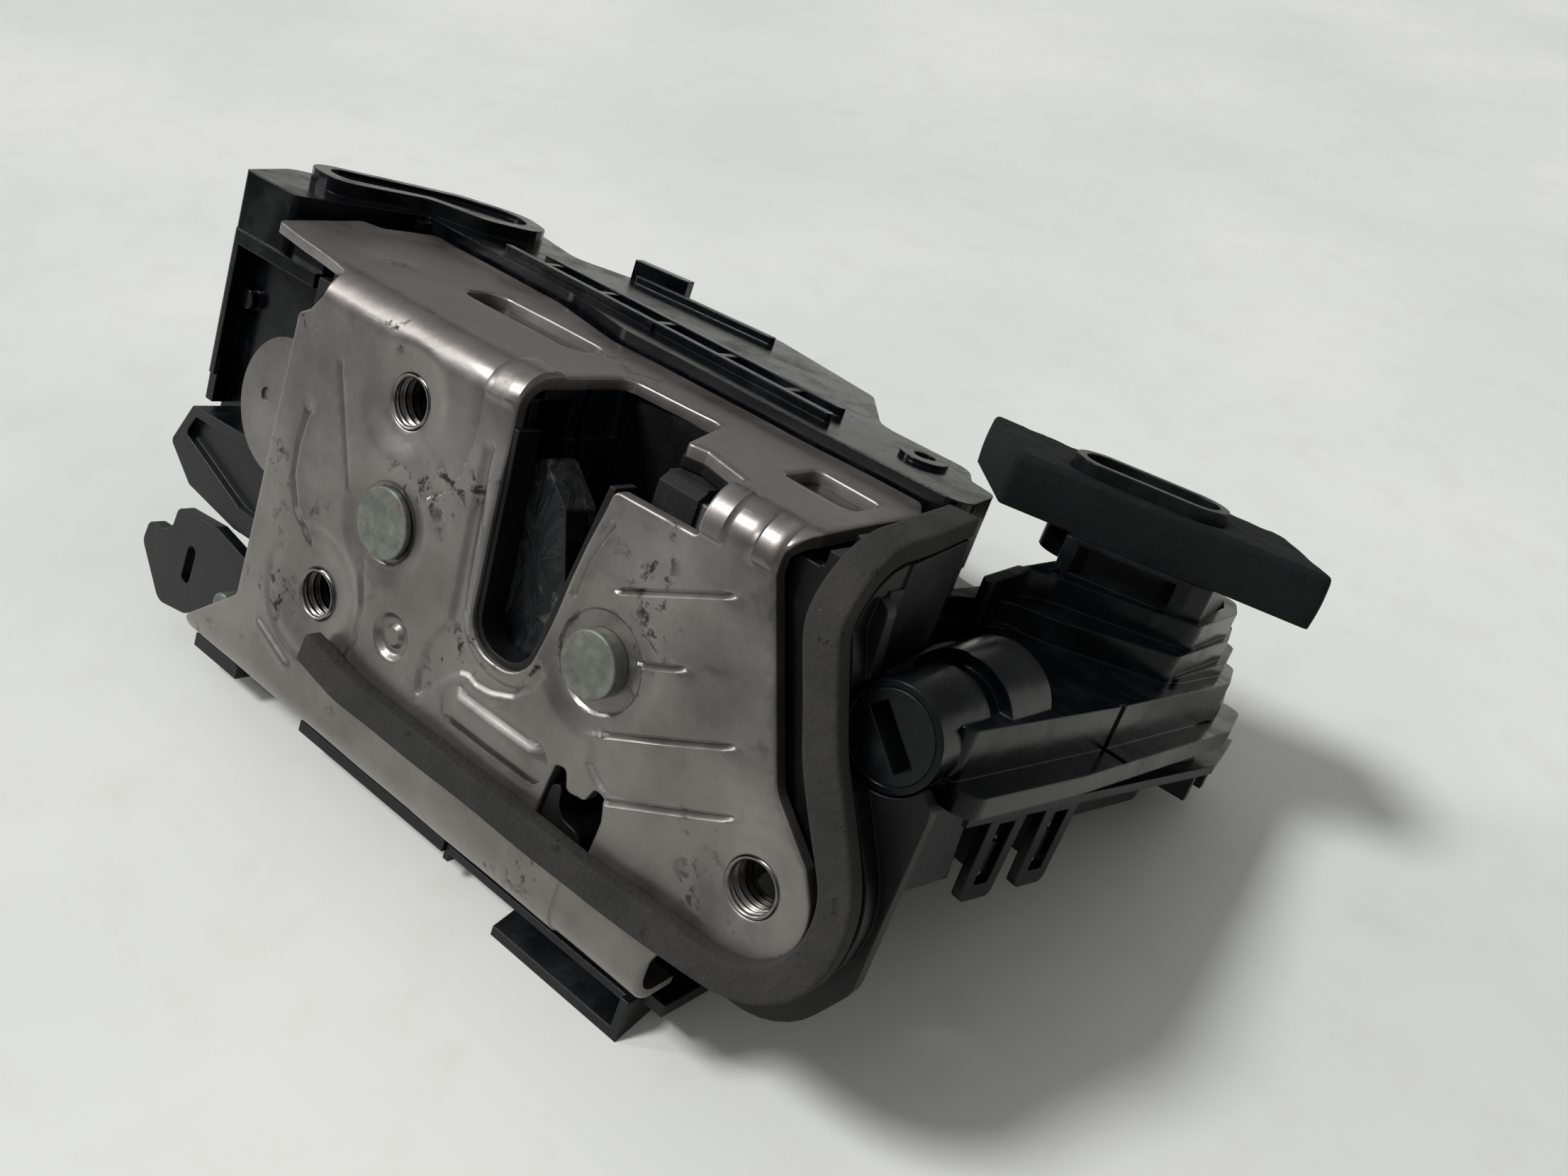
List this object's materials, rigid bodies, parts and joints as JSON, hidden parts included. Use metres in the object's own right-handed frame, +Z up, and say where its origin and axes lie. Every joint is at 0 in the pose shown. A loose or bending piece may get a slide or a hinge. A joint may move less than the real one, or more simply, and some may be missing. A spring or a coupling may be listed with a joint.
{
  "type": "car door lock",
  "caption": "Car door latch with a stamped mounting plate, striker slot with a sprung claw and pawl, and a flat moulded drive housing with a motor, key rotor and sealed plug socket.",
  "frame": {"origin": "middle of the lock's box, at the bench it lies on", "axes": "+X along the fold of the latch plate, +Y away from the plate's face, +Z up; the lock lies on the bench, so its own depth axis is tipped 21.8 degrees down towards +Y"},
  "size_m": [0.181, 0.1154, 0.0815],
  "materials": {
    "plate_steel": "dull pressed sheet steel with light stains",
    "rivet_steel": "zinc plated, dulled",
    "spring_steel": "drawn wire",
    "claw_coat": "dark phosphated steel with old grease",
    "black_plastic": "fine moulded black",
    "housing_plastic": "half gloss moulded black",
    "brown_plastic": "moulded",
    "natural_plastic": "natural gear plastic",
    "bumper_rubber": "matt",
    "seal_foam": "closed cell foam",
    "contact_brass": "stamped",
    "contact_tin": "tin plated"
  },
  "bodies": {
    "lock_body": {"latch_plate": "plate_steel", "reinforcement_plate": "plate_steel", "latch_frame": "black_plastic", "slot_liner": "black_plastic", "back_plate": "plate_steel", "latch_cover": "black_plastic", "claw_rivet": "rivet_steel", "claw_spring": "spring_steel", "pawl_rivet": "rivet_steel", "pawl_spring": "spring_steel", "striker_bumper": "bumper_rubber", "bumper_insert": "rivet_steel", "claw_switch": "brown_plastic", "pawl_switch": "brown_plastic", "foam_gasket": "seal_foam", "drive_housing": "housing_plastic", "drive_cover": "black_plastic", "cover_screws": "rivet_steel", "drive_motor": "rivet_steel", "wheel_axle": "rivet_steel", "lever_axle": "rivet_steel", "track_plate": "contact_brass", "release_lever_pin": "rivet_steel", "inner_lever_pin": "rivet_steel", "side_flap": "black_plastic", "bottom_rail": "black_plastic", "connector_shell": "black_plastic", "connector_pins": "contact_tin", "connector_pad": "seal_foam"},
    "claw_arm": {"claw": "claw_coat"},
    "pawl_arm": {"pawl": "claw_coat"},
    "rotor": {"key_rotor": "black_plastic"},
    "outer_lever": {"outer_release_lever": "black_plastic"},
    "inner_lever": {"inner_release_lever": "black_plastic"},
    "wheel": {"worm_wheel": "natural_plastic"},
    "worm_shaft": {"worm": "natural_plastic"},
    "switch_lever": {"lock_lever": "black_plastic"}
  },
  "joints": [
    {"name": "claw_hinge", "type": "hinge", "parent": "lock_body", "child": "claw_arm", "pos_m": [-0.01539, -0.03726, 0.04984], "axis": [0, 0.9285, -0.3714], "range_deg": [0, 54], "stiffness_Nm_per_rad": 0.06, "springref_deg": -28.65},
    {"name": "pawl_hinge", "type": "hinge", "parent": "lock_body", "child": "pawl_arm", "pos_m": [0.02791, -0.03689, 0.05077], "axis": [0, -0.9285, 0.3714], "range_deg": [0, 12], "stiffness_Nm_per_rad": 0.03, "springref_deg": -22.92},
    {"name": "key_turn", "type": "hinge", "parent": "lock_body", "child": "rotor", "pos_m": [0.06771, -0.03135, 0.06137], "axis": [0, 0.9285, -0.3714], "range_deg": [0, 90]},
    {"name": "outer_release", "type": "hinge", "parent": "lock_body", "child": "outer_lever", "pos_m": [-0.04929, -0.04727, 0.02024], "axis": [0, -0.9285, 0.3714], "range_deg": [0, 10], "stiffness_Nm_per_rad": 0.02, "springref_deg": -22.92},
    {"name": "inner_release", "type": "hinge", "parent": "lock_body", "child": "inner_lever", "pos_m": [-0.05279, -0.01858, 0.05023], "axis": [0, 0.3714, 0.9285], "range_deg": [0, 25], "stiffness_Nm_per_rad": 0.01, "springref_deg": -22.92},
    {"name": "wheel_turn", "type": "hinge", "parent": "lock_body", "child": "wheel", "pos_m": [-0.02729, 0.03128, 0.0319], "axis": [0, 0.3714, 0.9285], "range_deg": [0, 90]},
    {"name": "worm_turn", "type": "hinge", "parent": "lock_body", "child": "worm_shaft", "pos_m": [-0.02729, 0.01262, 0.03937], "axis": [1, 0, 0], "range_deg": [-2880, 0]},
    {"name": "lever_turn", "type": "hinge", "parent": "lock_body", "child": "switch_lever", "pos_m": [0.01471, 0.03509, 0.03092], "axis": [0, 0.3714, 0.9285], "range_deg": [-15, 6]}
  ],
  "couplings": [
    {"joint": "worm_turn", "follows": "wheel_turn", "ratio": -32}
  ]
}
